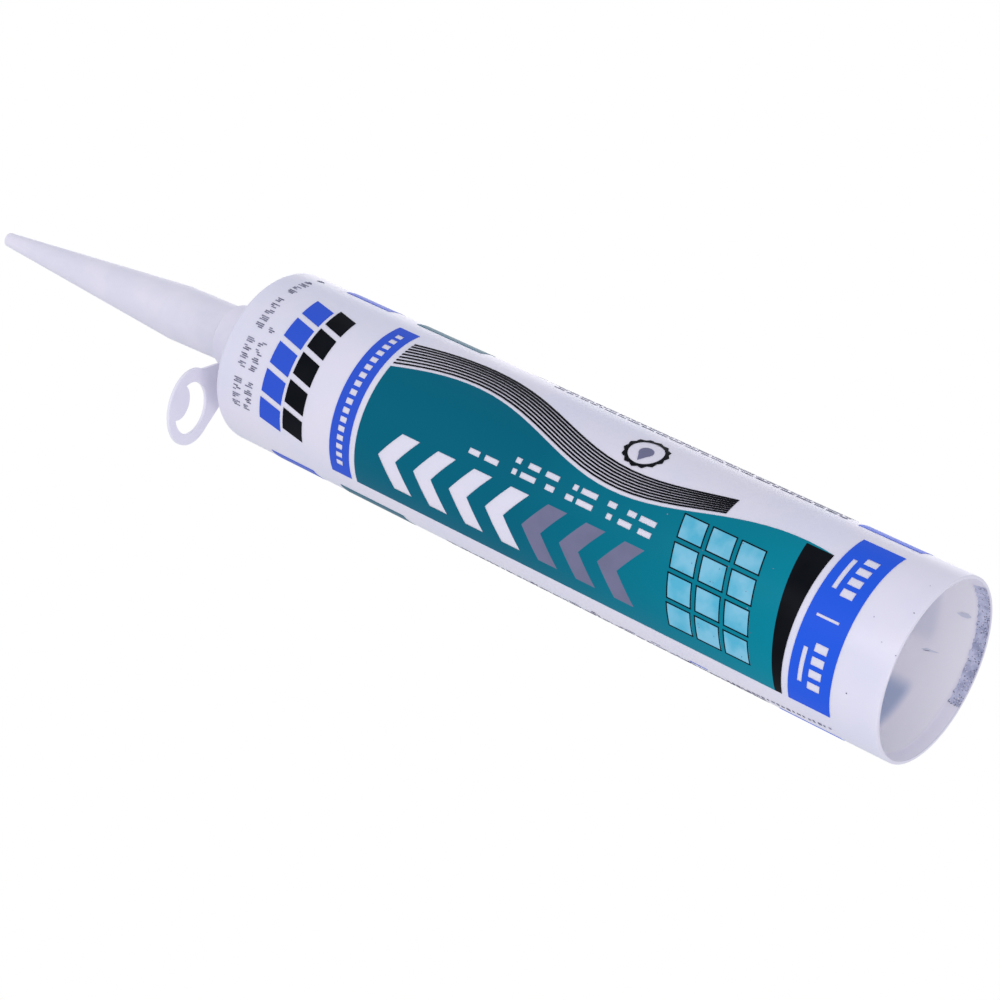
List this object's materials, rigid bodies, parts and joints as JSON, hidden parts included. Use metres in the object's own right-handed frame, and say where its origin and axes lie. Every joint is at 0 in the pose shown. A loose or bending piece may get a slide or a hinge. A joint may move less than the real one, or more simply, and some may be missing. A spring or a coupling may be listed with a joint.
{
  "type": "adhesive cartridge",
  "caption": "Open-ended white sealant cartridge for a caulking gun, with a screw-on tapered nozzle carrying a flat finger loop, a sliding piston, paste and printed colour fields.",
  "frame": {"origin": "centre of the open rear rim", "axes": "+Z along the barrel towards the nozzle; -Y through the middle of the printed front panel; +X to the right of it"},
  "size_m": [0.0592, 0.0505, 0.3295],
  "materials": {
    "barrel": "smooth white polyethylene with a soft gloss",
    "nozzle": "natural polyethylene, slightly translucent, satin",
    "piston": "white polyethylene, satin",
    "sealant": "off-white paste",
    "ink_teal": "printed ink, soft gloss",
    "ink_blue": "printed ink, soft gloss",
    "ink_aqua": "printed ink, soft gloss",
    "ink_grey": "printed ink, soft gloss",
    "ink_black": "printed ink, soft gloss"
  },
  "bodies": {
    "barrel": {"barrel": "barrel", "sealant": "sealant", "neck_paste": "sealant", "print_teal": "ink_teal", "print_blue": "ink_blue", "print_aqua": "ink_aqua", "print_grey": "ink_grey", "print_black": "ink_black"},
    "nozzle": {"nozzle": "nozzle"},
    "piston": {"piston": "piston"}
  },
  "joints": [
    {"name": "nozzle_turn", "type": "hinge", "parent": "barrel", "child": "nozzle", "pos_m": [0, 0, 0.23], "axis": [0, 0, 1], "range_deg": [0, 900]},
    {"name": "piston_slide", "type": "slide", "parent": "barrel", "child": "piston", "axis": [0, 0, 1], "range_m": [0, 0.156], "deforming": ["sealant"]}
  ]
}
